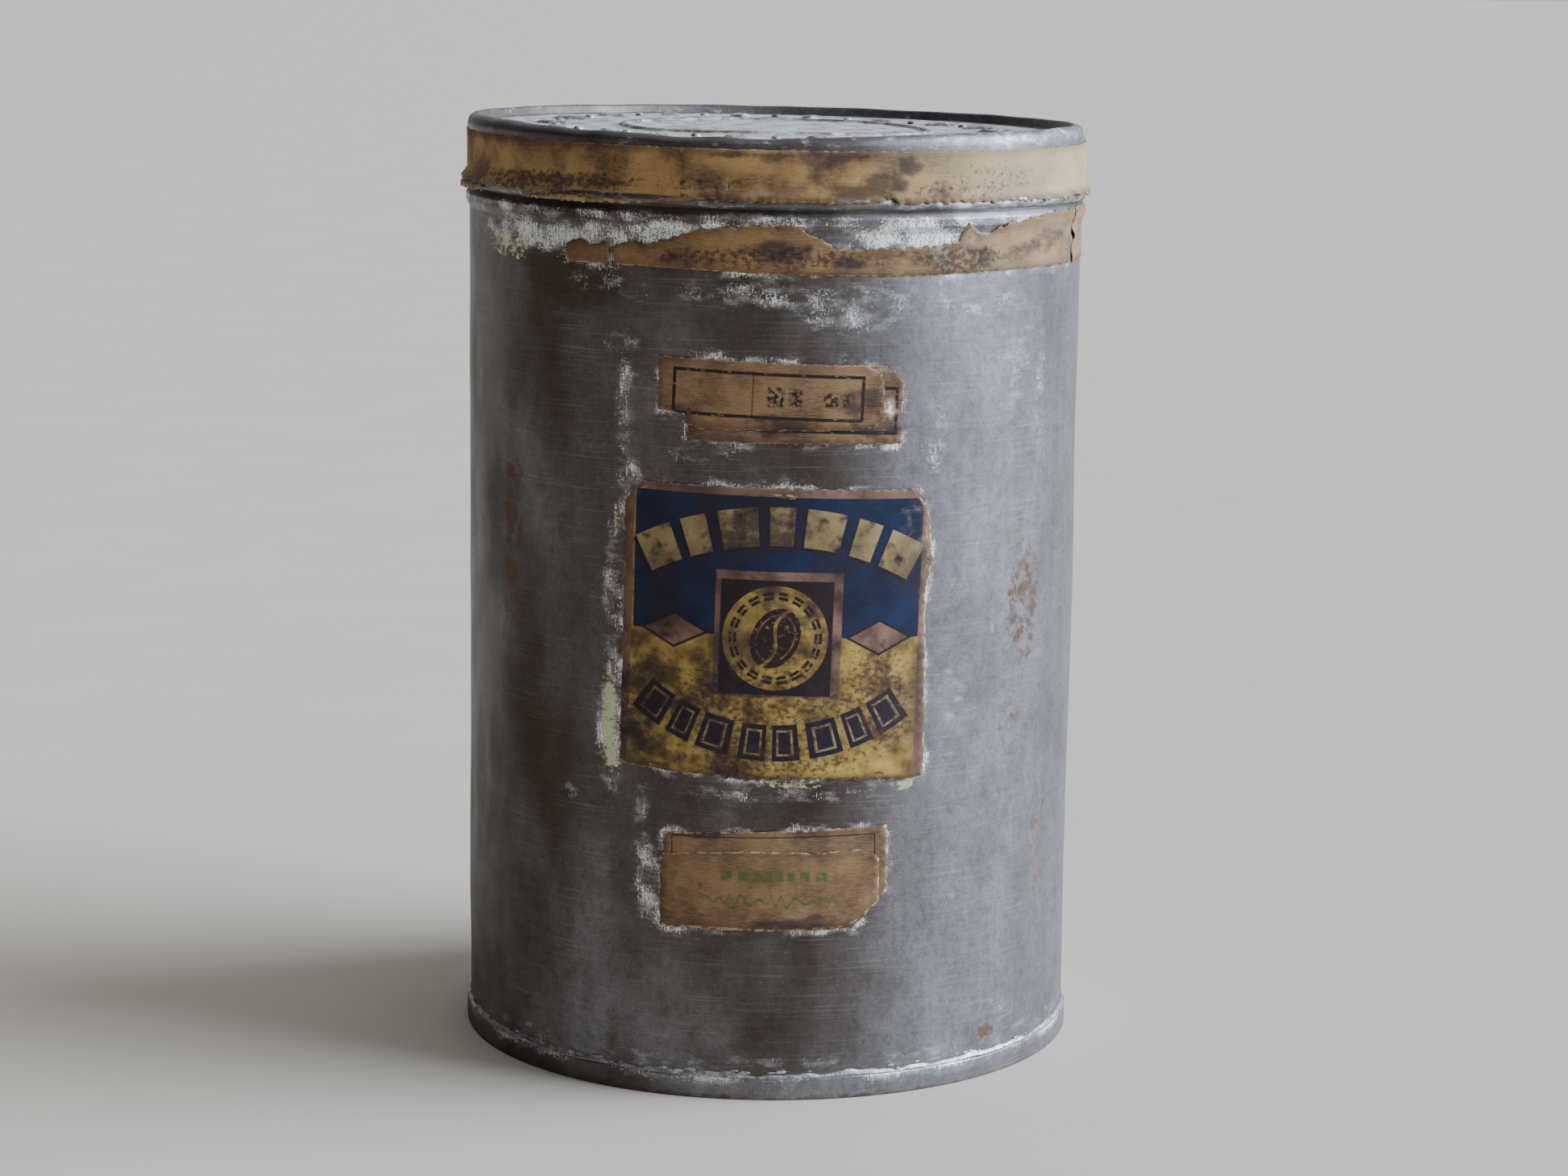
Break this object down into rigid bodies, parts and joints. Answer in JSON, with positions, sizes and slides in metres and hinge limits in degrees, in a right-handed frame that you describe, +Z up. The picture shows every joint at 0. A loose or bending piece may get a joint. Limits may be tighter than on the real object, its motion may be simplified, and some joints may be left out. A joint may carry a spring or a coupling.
{
  "type": "slip-lid tin",
  "caption": "Tall round tinplate storage tin with a lift-off slip lid, a folded base seam, a torn paper sealing strip and pasted paper labels.",
  "frame": {"origin": "centre of the base on the surface that the tin stands on", "axes": "+Z up along the tin's axis, -Y towards the labels, +X to the right of someone facing the labels"},
  "size_m": [0.201, 0.201, 0.2955],
  "materials": {
    "body_tinplate": "tarnished tinplate with bare bright scratches and light rust",
    "base_tinplate": "worn tinplate, rusted along its lowest edge",
    "lid_tinplate": "tarnished tinplate, pressed",
    "solder": "dull tin-lead solder, wiped while soft",
    "gummed_kraft_paper": "gummed kraft paper, stained and torn",
    "old_label_paper": "browned label paper",
    "new_label_paper": "browned label paper with faint printing",
    "printed_label_paper": "litho-printed paper in navy blue and yellow, varnish worn"
  },
  "bodies": {
    "tin_body": {"body_wall": "body_tinplate", "bottom_end": "base_tinplate", "bottom_seam_solder": "solder", "side_seam_solder": "solder", "neck_strip": "gummed_kraft_paper", "neck_strip_end": "gummed_kraft_paper", "neck_strip_scrap": "gummed_kraft_paper", "batch_label_under": "old_label_paper", "batch_label_over": "new_label_paper", "main_label_under": "old_label_paper", "main_label_over": "printed_label_paper", "weight_label_under": "old_label_paper", "weight_label_over": "new_label_paper"},
    "lid": {"lid_shell": "lid_tinplate", "lid_strip_under": "gummed_kraft_paper", "lid_strip_over": "gummed_kraft_paper"}
  },
  "joints": [
    {"name": "lid_lift", "type": "slide", "parent": "tin_body", "child": "lid", "axis": [0, 0, 1], "range_m": [0, 0.12]}
  ]
}
